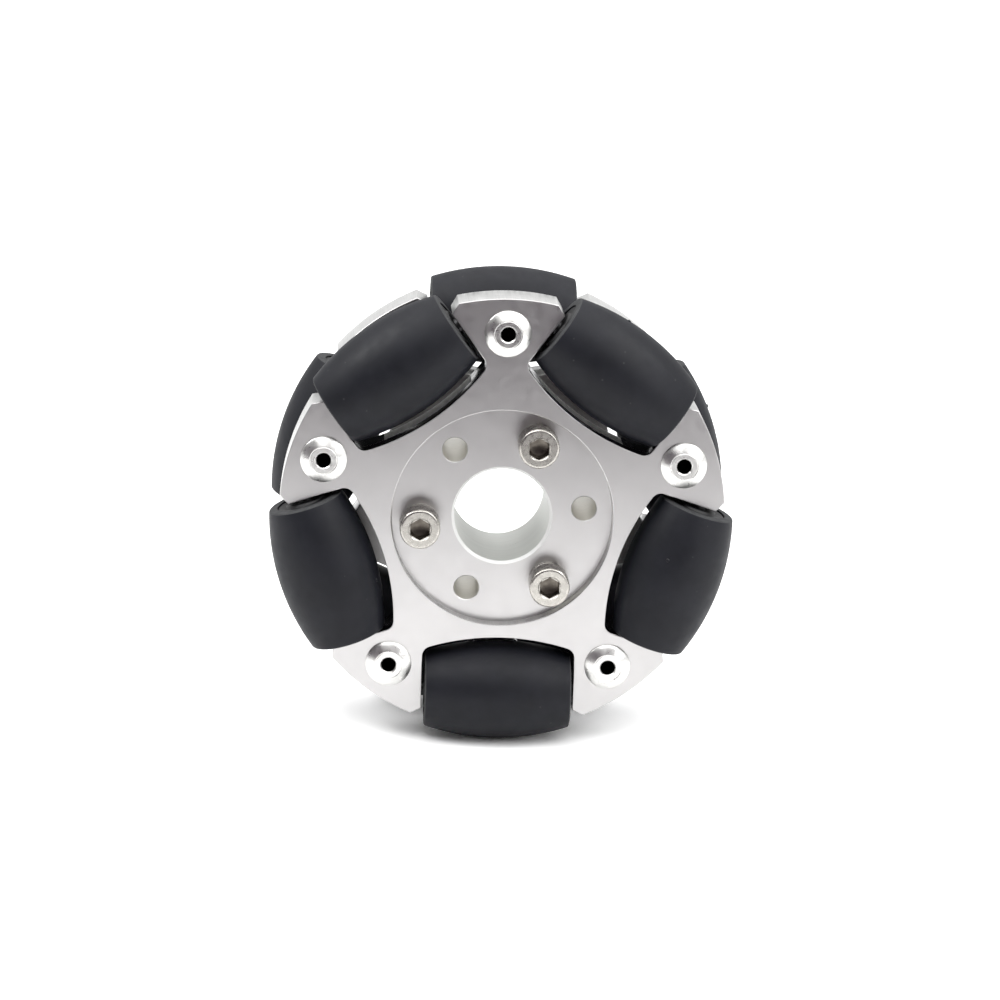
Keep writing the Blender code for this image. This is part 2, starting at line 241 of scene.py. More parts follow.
def circle(radius, segments=SMALL_SEGMENTS, centre=(0, 0)):
    """A round outline, anticlockwise."""
    points = []
    for i in range(segments):
        point = polar(radius, -360 * i / segments)
        points.append((point.x + centre[0], point.y + centre[1]))
    return points


def rounded(corners, closed=False):
    """A polyline through (x, y, radius) corners, each turned into an arc of that radius."""
    points = []
    last = len(corners) - 1
    for i, (x, y, radius) in enumerate(corners):
        corner = Vector((x, y))
        if radius == 0 or (not closed and i in (0, last)):
            points.append((x, y))
            continue
        before = (Vector(corners[i - 1][:2]) - corner).normalized()
        after = (Vector(corners[(i + 1) % len(corners)][:2]) - corner).normalized()
        half = before.angle(after) / 2
        centre = corner + (before + after).normalized() * radius / math.sin(half)
        start = corner + before * radius / math.tan(half) - centre
        end = corner + after * radius / math.tan(half) - centre
        turn = math.copysign(math.pi - 2 * half, start.cross(end))
        steps = max(2, math.ceil(abs(turn) / ARC_STEP))
        for k in range(steps + 1):
            point = centre + Matrix.Rotation(turn * k / steps, 2) @ start
            points.append((point.x, point.y))
    return points


def finished(name, shape):
    """A mesh from a bmesh, welded, faces out, smooth with sharp real edges."""
    bmesh.ops.remove_doubles(shape, verts=shape.verts, dist=MERGE)
    bmesh.ops.recalc_face_normals(shape, faces=shape.faces)
    mesh = bpy.data.meshes.new(name)
    shape.to_mesh(mesh)
    shape.free()
    mesh.shade_smooth()
    mesh.set_sharp_from_angle(angle=SHARP_ANGLE)
    for face in mesh.polygons:
        face.use_smooth = abs(face.normal.z) < FLAT_COSINE
    return mesh


def turned_mesh(name, profile, segments, closed=False):
    """An (r, z) profile turned about Z."""
    shape = bmesh.new()
    points = [shape.verts.new((r, 0, z)) for r, z in profile]
    edges = [shape.edges.new(pair) for pair in zip(points, points[1:])]
    if closed:
        edges.append(shape.edges.new((points[-1], points[0])))
    bmesh.ops.spin(shape, geom=points + edges, axis=(0, 0, 1), cent=(0, 0, 0),
                   angle=2 * math.pi, steps=segments, use_merge=True)
    return finished(name, shape)


def mesh_of(obj):
    """The object's mesh with its modifiers; the object itself is removed."""
    evaluated = obj.evaluated_get(bpy.context.evaluated_depsgraph_get())
    shape = bmesh.new()
    shape.from_mesh(bpy.data.meshes.new_from_object(evaluated))
    name = obj.name
    bpy.data.objects.remove(obj, do_unlink=True)
    return finished(name, shape)


def plate_mesh(name, outlines, low, high, edge):
    """A flat plate from z = low to high with rounded edges; the first outline is the outer one."""
    curve = bpy.data.curves.new(name, "CURVE")
    curve.dimensions = "2D"
    curve.fill_mode = "BOTH"
    curve.extrude = (high - low) / 2 - edge
    curve.bevel_depth = edge
    curve.bevel_resolution = 2
    curve.offset = -edge
    for number, outline in enumerate(outlines):
        points = outline if number == 0 else list(reversed(outline))
        spline = curve.splines.new("POLY")
        spline.points.add(len(points) - 1)
        for point, (x, y) in zip(spline.points, points):
            point.co = (x, y, 0, 1)
        spline.use_cyclic_u = True
    obj = bpy.data.objects.new(name, curve)
    bpy.context.scene.collection.objects.link(obj)
    mesh = mesh_of(obj)
    mesh.transform(Matrix.Translation((0, 0, (low + high) / 2)))
    return mesh


def combined(name, mesh, *steps):
    """A mesh after Boolean steps, each an (operation, mesh, matrices) triple."""
    obj = bpy.data.objects.new(name, mesh)
    bpy.context.scene.collection.objects.link(obj)
    tools = []
    for operation, tool_mesh, matrices in steps:
        for matrix in matrices:
            tool = bpy.data.objects.new(name + "_tool", tool_mesh)
            bpy.context.scene.collection.objects.link(tool)
            tool.matrix_world = matrix
            boolean = obj.modifiers.new("boolean", "BOOLEAN")
            boolean.operation = operation
            boolean.solver = "EXACT"
            boolean.object = tool
            tools.append(tool)
    result = mesh_of(obj)
    for tool in tools:
        bpy.data.objects.remove(tool, do_unlink=True)
    return result


def ring(radius, first, count):
    """Matrices that carry a body to evenly spaced places on a circle."""
    return [Matrix.Translation(polar(radius, first + 360 / count * i)) for i in range(count)]


HERE = [Matrix.Identity(4)]
PLACE = "place"                   # the attribute that keeps where a point was as its piece was drawn


def keep_places(mesh):
    """Remember the mesh's own coordinates for its materials."""
    places = mesh.attributes.new(PLACE, "FLOAT_VECTOR", "POINT")
    places.data.foreach_set("vector", [value for vertex in mesh.vertices for value in vertex.co])


# ---------------------------------------------------------------- plates

def pocket_outline():
    """Half a pocket in (across, outwards) coordinates, from an arm's tip to the pocket's middle."""
    arch_centre = 2 * AXIS_RADIUS - POCKET_CLEARANCE
    wall_top = math.sqrt(TIP_RADIUS ** 2 - POCKET_HALF_WIDTH ** 2) - TIP_CUT_ALONG_WALL
    cut_across = POCKET_HALF_WIDTH + TIP_CUT_ACROSS
    points = [(-cut_across, math.sqrt(TIP_RADIUS ** 2 - cut_across ** 2)),
              (-POCKET_HALF_WIDTH, wall_top)]
    across = POCKET_HALF_WIDTH - POCKET_FILLET
    reach = WHEEL_RADIUS - POCKET_FILLET
    centre = (-across, arch_centre - math.sqrt(reach ** 2 - across ** 2))
    last = math.acos(across / reach)
    fillet_steps = 10
    for i in range(fillet_steps):
        angle = last * i / fillet_steps
        points.append((centre[0] - POCKET_FILLET * math.cos(angle),
                       centre[1] - POCKET_FILLET * math.sin(angle)))
    arch_steps = 16
    spread = math.pi / 2 - last
    for i in range(arch_steps + 1):
        angle = spread * (1 - i / arch_steps)
        points.append((-WHEEL_RADIUS * math.sin(angle),
                       arch_centre - WHEEL_RADIUS * math.cos(angle)))
    return points


def row_outline():
    """The five-armed outline of a row, anticlockwise."""
    half = pocket_outline()
    whole = half + [(-across, out) for across, out in reversed(half[:-1])]
    edge = math.degrees(math.atan2(-half[0][0], half[0][1]))
    tip_steps = 16
    outline = []
    for index in range(ARMS):
        middle = PITCH * (index + 0.5)
        angle = math.radians(middle)
        for across, out in whole:
            outline.append((out * math.sin(angle) + across * math.cos(angle),
                            out * math.cos(angle) - across * math.sin(angle)))
        tip = PITCH - 2 * edge
        for i in range(1, tip_steps):
            outline.append(polar(TIP_RADIUS, middle + edge + tip * i / tip_steps)[:2])
    return list(reversed(outline))


def rivet_holes():
    """The outlines of a row's rivet holes."""
    return [circle(RIVET_SHANK_RADIUS, SMALL_SEGMENTS, polar(RIVET_CIRCLE_RADIUS, PITCH * i))
            for i in range(ARMS)]


def roller_matrix(index):
    """Frame of a roller in its row: origin at its middle, x outwards, z along its axle."""
    angle = math.radians(PITCH * (index + 0.5))
    radial = Vector((math.sin(angle), math.cos(angle), 0))
    along = Vector((math.cos(angle), -math.sin(angle), 0))
    matrix = Matrix((radial, Vector((0, 0, 1)), along)).transposed().to_4x4()
    matrix.translation = radial * AXIS_RADIUS + Vector((0, 0, ROW_OFFSET))
    return matrix


def groove_tool():
    """The rod that leaves the axle grooves."""
    half = AXLE_HALF + SEAM
    radius = AXLE_RADIUS + SEAM
    return turned_mesh("groove", [(0, half), (radius, half), (radius, -half), (0, -half)], 32)


def slab_tool(low, high):
    """A broad slab that trims a plate's rounded edge square where it meets its neighbour."""
    reach = WHEEL_RADIUS + OVERCUT
    return turned_mesh("slab", [(0, high), (reach, high), (reach, low), (0, low)], ROUND_SEGMENTS)


def cover_mesh():
    """Cover plate: the five-armed outline with the round opening around the hub."""
    outlines = [row_outline(), circle(RECESS_RADIUS, ROUND_SEGMENTS * 2)] + rivet_holes()
    seat = ROW_OFFSET + SEAM
    plate = plate_mesh("cover", outlines, seat - PLATE_EDGE, FACE, PLATE_EDGE)
    return combined("cover", plate, ("DIFFERENCE", slab_tool(seat - OVERCUT, seat), HERE),
                    ("DIFFERENCE", groove_tool(), [roller_matrix(i) for i in range(ARMS)]))


def drill_tool(radius, chamfer, segments):
    """A drill for a hole through the hub with a chamfered mouth."""
    flare = radius + chamfer + OVERCUT
    return turned_mesh("drill", [(0, HUB_FLOOR + OVERCUT), (flare, HUB_FLOOR + OVERCUT),
                                 (radius, HUB_FLOOR - chamfer), (radius, -OVERCUT),
                                 (0, -OVERCUT)], segments)


def body_mesh():
    """Hub body: the arms behind the axles and the raised round hub with its bore and holes."""
    seat = ROW_OFFSET - SEAM
    arms = plate_mesh("arms", [row_outline()] + rivet_holes(), ARM_BACK, seat + PLATE_EDGE, PLATE_EDGE)
    hub = plate_mesh("hub", [circle(RECESS_RADIUS - SEAM, ROUND_SEGMENTS * 2)], SEAM, HUB_FLOOR,
                     PLATE_EDGE / 2)
    return combined(
        "body", arms, ("DIFFERENCE", slab_tool(seat, seat + OVERCUT), HERE), ("UNION", hub, HERE),
        ("DIFFERENCE", drill_tool(BORE_RADIUS, BORE_CHAMFER, ROUND_SEGMENTS), HERE),
        ("DIFFERENCE", drill_tool(HUB_HOLE_RADIUS, HUB_HOLE_CHAMFER, SMALL_SEGMENTS),
         ring(HOLE_CIRCLE_RADIUS, FIRST_HUB_HOLE, HUB_HOLES)),
        ("DIFFERENCE", groove_tool(), [roller_matrix(i) for i in range(ARMS)]))


# ---------------------------------------------------------------- rollers

def tyre_mesh():
    """Rubber barrel that follows the wheel's own circle, with the mark that the gate leaves."""
    end = math.sqrt(WHEEL_RADIUS ** 2 - ROLLER_HALF ** 2) - AXIS_RADIUS
    arc_steps = 24
    side = []
    for i in range(1, arc_steps):
        z = ROLLER_HALF * (1 - 2 * i / arc_steps)
        side.append((math.sqrt(WHEEL_RADIUS ** 2 - z ** 2) - AXIS_RADIUS, z, 0))
    corners = [(end, ROLLER_HALF, TYRE_EDGE)] + side + [(end, -ROLLER_HALF, TYRE_EDGE)]
    corners += [(TYRE_BORE, -ROLLER_HALF, TYRE_EDGE / 4), (TYRE_BORE, ROLLER_HALF, TYRE_EDGE / 4)]
    barrel = turned_mesh("tyre", rounded(corners, closed=True), ROUND_SEGMENTS, closed=True)
    nub = turned_mesh("nub", rounded([
        (0, NUB_HEIGHT, 0), (NUB_TOP_RADIUS, NUB_HEIGHT, NUB_RADIUS / 3),
        (NUB_RADIUS, 0, 0), (NUB_RADIUS, -NUB_HEIGHT, 0), (0, -NUB_HEIGHT, 0)]), 16)
    under = math.sqrt(WHEEL_RADIUS ** 2 - NUB_ALONG ** 2) - AXIS_RADIUS
    place = Matrix.Translation((under, 0, NUB_ALONG)) @ Matrix.Rotation(math.pi / 2, 4, "Y")
    return combined("tyre", barrel, ("UNION", nub, [place]))


def core_mesh():
    """Nylon core with a thrust boss at each end and the bore for the axle."""
    edge = CORE_EDGE
    half = [(AXLE_RADIUS + RUNNING_CLEARANCE, CORE_BOSS_END, edge / 2),
            (CORE_BOSS_RADIUS, CORE_BOSS_END, edge), (CORE_BOSS_RADIUS + edge, CORE_HALF, edge),
            (TYRE_BORE - SEAM, CORE_HALF, edge)]
    corners = half + [(r, -z, radius) for r, z, radius in reversed(half)]
    return turned_mesh("core", rounded(corners, closed=True), SMALL_SEGMENTS, closed=True)


def axle_mesh():
    """Steel pin with chamfered ends."""
    profile = [(0, AXLE_HALF), (AXLE_RADIUS - AXLE_CHAMFER, AXLE_HALF),
               (AXLE_RADIUS, AXLE_HALF - AXLE_CHAMFER)]
    profile += [(r, -z) for r, z in reversed(profile)]
    return turned_mesh("axle", profile, SMALL_SEGMENTS)


# ---------------------------------------------------------------- fasteners

def rivet_mesh():
    """Pop rivet: coned flange, flat ring round a deep hole, and the bulb behind."""
    seat = FACE + SEAM
    top = seat + RIVET_HEIGHT
    floor = top - RIVET_BORE_DEPTH
    back = ARM_BACK - SEAM
    bore, flange = RIVET_BORE_RADIUS, RIVET_FLANGE_RADIUS
    ring_top = top - RIVET_RING_SINK
    crest_out, crest_down = RIVET_CREST
    shoulder_in, shoulder_up = RIVET_SHOULDER
    profile = rounded([
        (0, floor, 0), (bore, floor, 0), (bore, ring_top - RIVET_MOUTH_SLOPE, 0.00006),
        (bore + RIVET_MOUTH_SLOPE, ring_top, 0.00008),
        (RIVET_RING_RADIUS - RIVET_RING_EDGE, ring_top, 0.00004),
        (RIVET_RING_RADIUS, top - RIVET_GROOVE_DEPTH, 0.00003),
        (RIVET_RING_RADIUS + crest_out, top - crest_down, 0.00009),
        (flange - shoulder_in, seat + shoulder_up, 0.0012),
        (flange, seat + RIVET_RIM_HEIGHT, 0.00014), (flange - 0.00008, seat, 0.00005),
        (RIVET_SHANK_RADIUS, seat, 0), (RIVET_SHANK_RADIUS, back, 0), (BULB_RADIUS, back, 0.0001),
        (BULB_RADIUS - 0.00005, back - BULB_HEIGHT, 0.0006),
        (BULB_NECK_RADIUS, back - BULB_HEIGHT + 0.00005, 0.0001),
        (BULB_TIP_RADIUS, back - BULB_TIP_HEIGHT, 0.0003), (0, back - BULB_TIP_HEIGHT, 0)])
    return turned_mesh("rivet", profile, SMALL_SEGMENTS)


def hexagon(across_flats):
    """A hexagonal outline with a corner upwards."""
    return circle(across_flats / math.sqrt(3), 6)


def threaded_rod_mesh(low, high):
    """A rod with a real helical thread, tapered off at its low end."""
    steps_per_turn = 8
    segments = SMALL_SEGMENTS // 2
    rows = round((high - low) / THREAD_PITCH * steps_per_turn)
    shape = bmesh.new()
    grid = []
    for row in range(rows + 1):
        z = low + (high - low) * row / rows
        crest = min(SCREW_RADIUS, SCREW_RADIUS - THREAD_DEPTH + (z - low))
        line = []
        for i in range(segments):
            phase = (z / THREAD_PITCH - i / segments) % 1
            depth = THREAD_DEPTH * (1 - abs(2 * phase - 1))
            radius = min(crest, SCREW_RADIUS - depth)
            angle = 2 * math.pi * i / segments
            line.append(shape.verts.new((radius * math.cos(angle), radius * math.sin(angle), z)))
        grid.append(line)
    for lower, upper in zip(grid, grid[1:]):
        for i in range(segments):
            j = (i + 1) % segments
            shape.faces.new((lower[i], lower[j], upper[j], upper[i]))
    shape.faces.new(list(reversed(grid[0])))
    shape.faces.new(grid[-1])
    return finished("thread", shape)


def screw_mesh():
    """Socket cap screw: rounded head with a hexagonal socket, and a threaded shank."""
    under = HEAD_TOP - HEAD_HEIGHT
    core = SCREW_RADIUS - THREAD_DEPTH / 2
    head = turned_mesh("head", rounded([
        (0, HEAD_TOP, 0), (HEAD_RADIUS, HEAD_TOP, HEAD_ROUNDING), (HEAD_RADIUS, under, 0.0001),
        (core, under, 0), (core, PLAIN_SHANK_END, 0), (0, PLAIN_SHANK_END, 0)]), SMALL_SEGMENTS)
    corner = SOCKET_ACROSS_FLATS / math.sqrt(3)
    socket = plate_mesh("socket", [hexagon(SOCKET_ACROSS_FLATS)], HEAD_TOP - SOCKET_DEPTH,
                        HEAD_TOP + OVERCUT, FINE_EDGE)
    mouth = turned_mesh("mouth", [
        (0, HEAD_TOP + OVERCUT), (corner + SOCKET_MOUTH / 2 + OVERCUT, HEAD_TOP + OVERCUT),
        (corner - SOCKET_MOUTH / 2, HEAD_TOP - SOCKET_MOUTH), (0, HEAD_TOP - SOCKET_MOUTH)],
        SMALL_SEGMENTS)
    pit = turned_mesh("pit", [
        (0, HEAD_TOP - SOCKET_DEPTH / 2), (PIT_RADIUS, HEAD_TOP - SOCKET_DEPTH / 2),
        (PIT_RADIUS, HEAD_TOP - SOCKET_DEPTH - PIT_WALL),
        (0, HEAD_TOP - SOCKET_DEPTH - PIT_CONE)], SMALL_SEGMENTS)
    thread = threaded_rod_mesh(SCREW_END, PLAIN_SHANK_END + THREAD_LAP)
    return combined("screw", head, ("UNION", thread, HERE), ("DIFFERENCE", socket, HERE),
                    ("DIFFERENCE", mouth, HERE), ("DIFFERENCE", pit, HERE))


def washer_mesh():
    """Split spring washer, sprung open a little at its cut."""
    low = HUB_FLOOR + SEAM
    rise = HEAD_TOP - HEAD_HEIGHT - HUB_FLOOR - WASHER_THICKNESS - 3 * SEAM
    inner = WASHER_BORE
    outer = HEAD_RADIUS - WASHER_INSET
    section = rounded([
        (outer, WASHER_THICKNESS, WASHER_OUTER_EDGE), (outer, 0, WASHER_OUTER_EDGE),
        (inner, 0, WASHER_INNER_EDGE), (inner, WASHER_THICKNESS, WASHER_INNER_EDGE)], closed=True)
    steps = SMALL_SEGMENTS
    sweep = math.radians(360 - WASHER_SPLIT)
    shape = bmesh.new()
    rings = []
    for step in range(steps + 1):
        share = step / steps
        angle = sweep * share
        rings.append([shape.verts.new((r * math.cos(angle), r * math.sin(angle), low + z + rise * share))
                      for r, z in section])
    count = len(section)
    for one, two in zip(rings, rings[1:]):
        for i in range(count):
            j = (i + 1) % count
            shape.faces.new((one[i], one[j], two[j], two[i]))
    shape.faces.new(rings[0])
    shape.faces.new(list(reversed(rings[-1])))
    return finished("washer", shape)


def nut_mesh():
    """Hexagonal nut with chamfered corners and a countersunk bore."""
    top = -HUB_FLOOR - SEAM
    bottom = top - NUT_HEIGHT
    prism = plate_mesh("nut", [hexagon(NUT_ACROSS_FLATS)], bottom, top, FINE_EDGE)
    corner = NUT_ACROSS_FLATS / math.sqrt(3)
    flat = NUT_ACROSS_FLATS / 2 * NUT_FACE_SHARE
    drop = (corner + OVERCUT - flat) * math.tan(math.radians(NUT_CHAMFER_ANGLE))
    envelope = turned_mesh("envelope", [
        (0, top + OVERCUT / 10), (flat, top + OVERCUT / 10), (flat, top),
        (corner + OVERCUT, top - drop), (corner + OVERCUT, bottom + drop), (flat, bottom),
        (flat, bottom - OVERCUT / 10), (0, bottom - OVERCUT / 10)], SMALL_SEGMENTS)
    radius = SCREW_RADIUS + SEAM
    flare = radius + NUT_SINK + OVERCUT
    bore = turned_mesh("bore", [
        (0, top + OVERCUT), (flare, top + OVERCUT), (radius, top - NUT_SINK),
        (radius, bottom + NUT_SINK), (flare, bottom - OVERCUT), (0, bottom - OVERCUT)],
        SMALL_SEGMENTS)
    return combined("nut", prism, ("INTERSECT", envelope, HERE), ("DIFFERENCE", bore, HERE))


# ---------------------------------------------------------------- materials

# A Mix node's sockets share their names, so they are told apart by number
MIX_FACTOR = 0
MIX_NUMBERS = (2, 3)
MIX_COLOURS = (6, 7)
MIXED_NUMBER = 0
MIXED_COLOUR = 2


class Nodes:
    """A short way to write a material's node tree."""

    def __init__(self, name):
        self.material = bpy.data.materials.new(name)
        self.material.use_nodes = True
        self.tree = self.material.node_tree
        self.shader = self.tree.nodes["Principled BSDF"]
        self.place = self.add("ShaderNodeAttribute", attribute_name=PLACE).outputs["Vector"]

    def add(self, kind, inputs=(), **settings):
        """A node with its settings and its inputs, each a value or another node's output."""
        node = self.tree.nodes.new(kind)
        for key, value in settings.items():
            setattr(node, key, value)
        for key, value in dict(inputs).items():
            if isinstance(value, bpy.types.NodeSocket):
                self.tree.links.new(value, node.inputs[key])
            else:
                node.inputs[key].default_value = value
        return node

    def noise(self, scale, detail=3.0, stretch=(1, 1, 1)):
        """Noise of so many features a metre, stretched along an axis by a factor."""
        mapping = self.add("ShaderNodeMapping", {"Vector": self.place, "Scale": stretch})
        return self.add("ShaderNodeTexNoise", {
            "Vector": mapping.outputs["Vector"], "Scale": scale, "Detail": detail}).outputs["Fac"]

    def ramp(self, value, low, high, start=0.3, end=0.7):
        """A value turned into a colour between two."""
        node = self.add("ShaderNodeValToRGB", {"Fac": value})
        first, last = node.color_ramp.elements
        first.position, last.position = start, end
        first.color, last.color = (*low, 1), (*high, 1)
        return node.outputs["Color"]

    def span(self, value, low, high):
        """A value from 0 to 1 spread between two numbers."""
        return self.add("ShaderNodeMapRange", {
            "Value": value, "From Min": 0.3, "From Max": 0.7, "To Min": low, "To Max": high}
            ).outputs["Result"]

    def bump(self, *layers):
        """Bump from (height, depth in metres) layers, finest last."""
        normal = None
        for height, depth in layers:
            inputs = {"Height": height, "Distance": depth, "Strength": 1.0}
            if normal:
                inputs["Normal"] = normal
            normal = self.add("ShaderNodeBump", inputs).outputs["Normal"]
        self.link("Normal", normal)

    def link(self, socket, output):
        """Drive one of the shader's sockets."""
        self.tree.links.new(output, self.shader.inputs[socket])

    def fix(self, **values):
        """Set the shader's own constants."""
        for key, value in values.items():
            self.shader.inputs[key.replace("_", " ")].default_value = value


def satin_aluminium():
    """Fine blasted and anodised face."""
    nodes = Nodes("satin_aluminium")
    cloud = nodes.noise(140, 4)
    nodes.link("Base Color", nodes.ramp(cloud, (0.566, 0.556, 0.553), (0.604, 0.593, 0.590)))
    nodes.link("Roughness", nodes.span(nodes.noise(900, 5), 0.30, 0.36))
    nodes.bump((nodes.noise(2600, 3), 0.0000016), (nodes.noise(7000, 2), 0.0000014))
    nodes.fix(Metallic=1.0)
    return nodes.material


def milled_aluminium():
    """Milled side walls, with fine marks along the cutter."""
    nodes = Nodes("milled_aluminium")
    marks = nodes.noise(5200, 2, (1, 1, 0.03))
    nodes.link("Base Color", nodes.ramp(marks, (0.75, 0.75, 0.74), (0.82, 0.82, 0.81)))
    nodes.link("Roughness", nodes.span(nodes.noise(2000, 3, (1, 1, 0.1)), 0.30, 0.42))
    nodes.bump((marks, 0.000003))
    nodes.fix(Metallic=1.0)
    return nodes.material


def sawn_aluminium(name, dark, light, smooth, rough, metallic):
    """Sawn pocket walls, with marks along the cutter, in the given colours, which paint shade and light
    into the walls.
    """
    nodes = Nodes(name)
    marks = nodes.noise(3600, 3, (1, 1, 0.05))
    nodes.link("Base Color", nodes.ramp(marks, dark, light))
    nodes.link("Roughness", nodes.span(nodes.noise(1500, 3), smooth, rough))
    nodes.bump((marks, 0.000004))
    nodes.fix(Metallic=metallic)
    return nodes.material


def bored_aluminium(name, dark, light, smooth, rough, metallic):
    """Bored holes and chamfers, with fine marks round them."""
    nodes = Nodes(name)
    marks = nodes.noise(4200, 2, (0.03, 0.03, 1))
    nodes.link("Base Color", nodes.ramp(marks, dark, light))
    nodes.link("Roughness", nodes.span(marks, smooth, rough))
    nodes.bump((marks, 0.000002))
    nodes.fix(Metallic=metallic)
    return nodes.material


def polished_rivet():
    """Bright formed aluminium with small dents and drawing marks."""
    nodes = Nodes("polished_rivet")
    nodes.link("Base Color", nodes.ramp(nodes.noise(1500, 4), (0.77, 0.765, 0.745), (0.84, 0.835, 0.815)))
    nodes.link("Roughness", nodes.span(nodes.noise(1800, 5), 0.26, 0.34))
    nodes.bump((nodes.noise(650, 2), 0.000009), (nodes.noise(5200, 3), 0.0000012))
    nodes.fix(Metallic=1.0)
    return nodes.material


def plated_steel():
    """Warm plated steel of the screws, washers and nuts."""
    nodes = Nodes("plated_steel")
    nodes.link("Base Color", nodes.ramp(nodes.noise(1300, 4), (0.47, 0.452, 0.418), (0.57, 0.550, 0.510)))
    nodes.link("Roughness", nodes.span(nodes.noise(2400, 5), 0.24, 0.34))
    nodes.bump((nodes.noise(900, 3), 0.0000025), (nodes.noise(6000, 2), 0.0000005))
    nodes.fix(Metallic=1.0)
    return nodes.material


def painted_shade_metal(name, dark, light):
    """Metal inside a socket or a rivet's hole, darkened with painted shade."""
    nodes = Nodes(name)
    nodes.link("Base Color", nodes.ramp(nodes.noise(1600, 4), dark, light))
    nodes.link("Roughness", nodes.span(nodes.noise(2200, 4), 0.30, 0.45))
    nodes.bump((nodes.noise(2600, 3), 0.000003))
    nodes.fix(Metallic=1.0)
    return nodes.material


def blackened_steel():
    """Oil-blackened axle pin."""
    nodes = Nodes("blackened_steel")
    marks = nodes.noise(6000, 2, (0.05, 0.05, 1))
    nodes.link("Base Color", nodes.ramp(marks, (0.060, 0.060, 0.062), (0.100, 0.100, 0.102)))
    nodes.link("Roughness", nodes.span(marks, 0.36, 0.48))
    nodes.bump((marks, 0.0000015))
    nodes.fix(Metallic=1.0)
    return nodes.material


def moulded_rubber():
    """Near-black rubber with a fine moulded skin and a little dust."""
    nodes = Nodes("moulded_rubber")
    dust = nodes.add("ShaderNodeTexVoronoi", {"Vector": nodes.place, "Scale": 420.0},
                     feature="F1").outputs["Distance"]
    specks = nodes.add("ShaderNodeMapRange", {
        "Value": dust, "From Min": 0.03, "From Max": 0.07, "To Min": 1.0, "To Max": 0.0}
        ).outputs["Result"]
    skin = nodes.ramp(nodes.noise(260, 5), (0.0048, 0.0052, 0.0082), (0.0076, 0.0081, 0.0122))
    dust_colour = (0.022, 0.022, 0.024, 1.0)
    colour = nodes.add("ShaderNodeMix", {
        MIX_COLOURS[0]: skin, MIX_COLOURS[1]: dust_colour, MIX_FACTOR: specks},
        data_type="RGBA").outputs[MIXED_COLOUR]
    nodes.link("Base Color", colour)
    nodes.link("Roughness", nodes.span(nodes.noise(600, 5), 0.46, 0.56))
    nodes.bump((nodes.noise(420, 3), 0.000010), (nodes.noise(3400, 4), 0.000005))
    nodes.fix(Specular_IOR_Level=0.25)
    return nodes.material


def end_rubber_painted_light():
    """The barrels' end faces, duller than the moulded skin and painted greyer as painted light from above.
    """
    nodes = Nodes("end_rubber_painted_light")
    # Grey end colour: painted light falling on the end faces
    nodes.link("Base Color", nodes.ramp(nodes.noise(700, 5), (0.030, 0.031, 0.033), (0.048, 0.049, 0.051)))
    nodes.link("Roughness", nodes.span(nodes.noise(900, 4), 0.62, 0.78))
    nodes.bump((nodes.noise(2600, 4), 0.000008))
    nodes.fix(Specular_IOR_Level=0.3)
    return nodes.material


def moulded_nylon():
    """Black nylon core."""
    nodes = Nodes("moulded_nylon")
    nodes.link("Base Color", nodes.ramp(nodes.noise(500, 4), (0.016, 0.016, 0.017), (0.026, 0.026, 0.027)))
    nodes.link("Roughness", nodes.span(nodes.noise(900, 4), 0.42, 0.55))
    nodes.bump((nodes.noise(2600, 3), 0.000006))
    nodes.fix(Specular_IOR_Level=0.35)
    return nodes.material


def plain_floor():
    """Pale, even studio floor, exposed brighter to the camera than to the wheel."""
    nodes = Nodes("plain_floor")
    seen = nodes.add("ShaderNodeLightPath").outputs["Is Camera Ray"]
    paper = nodes.ramp(nodes.noise(3, 2), (0.86, 0.86, 0.86), (0.88, 0.88, 0.88))
    lift = nodes.add("ShaderNodeMapRange", {"Value": seen, "To Min": 1.0, "To Max": FLOOR_LIFT})
    lifted = nodes.add("ShaderNodeVectorMath", {"Vector": paper, "Scale": lift.outputs["Result"]},
                       operation="SCALE")
    nodes.link("Base Color", lifted.outputs["Vector"])
    nodes.fix(Roughness=0.9, Specular_IOR_Level=0.1)
    return nodes.material


# ---------------------------------------------------------------- pieces

def show(name, mesh, matrix, body, slot, *nodes):
    """Move a copy of a mesh into place, tie it to its body and let it stand for its solids."""
    placed = mesh.copy()
    placed.transform(matrix)
    piece = bpy.data.objects.new(name, placed)
    bpy.context.scene.collection.objects.link(piece)
    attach(piece, body)
    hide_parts(*nodes)
    return piece


def dress(mesh, *choices):
    """Give a mesh its materials; each (material, test) takes the faces that pass its test."""
    keep_places(mesh)
    for number, (material, test) in enumerate(choices):
        mesh.materials.append(material)
        for face in mesh.polygons:
            if number and test(face):
                face.material_index = number
    return mesh


def is_side_wall(face):
    """Faces that stand upright on the plate."""
    return abs(face.normal.z) < UPRIGHT


def is_pocket_wall(face):
    """Walls of the arms that face the rollers."""
    return is_side_wall(face) and RECESS_RADIUS < face.center.xy.length < TIP_RADIUS - POCKET_FILLET


def is_pocket_floor(face):
    """The middle of a pocket's arch, which gets painted light."""
    middles = [polar(1, PITCH * (i + 0.5)) for i in range(ARMS)]
    out, middle = max((face.center.dot(middle), middle) for middle in middles)
    across = (face.center - out * middle).xy.length
    return is_pocket_wall(face) and across < POCKET_HALF_WIDTH * ARCH_SHARE


def is_hub_hole(face):
    """Walls of the shaft bore and the hub holes."""
    return is_side_wall(face) and face.center.xy.length < RECESS_RADIUS - PLATE_EDGE * 5


def is_shaft_bore(face):
    """Wall of the shaft bore."""
    return is_side_wall(face) and face.center.xy.length < BORE_RADIUS + PLATE_EDGE


def is_bore_chamfer(face):
    """The slope at the mouth of the shaft bore."""
    slope = UPRIGHT < abs(face.normal.z) < LEVEL
    return slope and face.center.xy.length < BORE_RADIUS + BORE_CHAMFER + PLATE_EDGE


def is_rivet_bore(face):
    """Inside of a rivet's hole."""
    inside = face.center.xy.length < RIVET_BORE_RADIUS + SEAM
    return inside and FACE + RIVET_HEIGHT - RIVET_BORE_DEPTH - SEAM < face.center.z


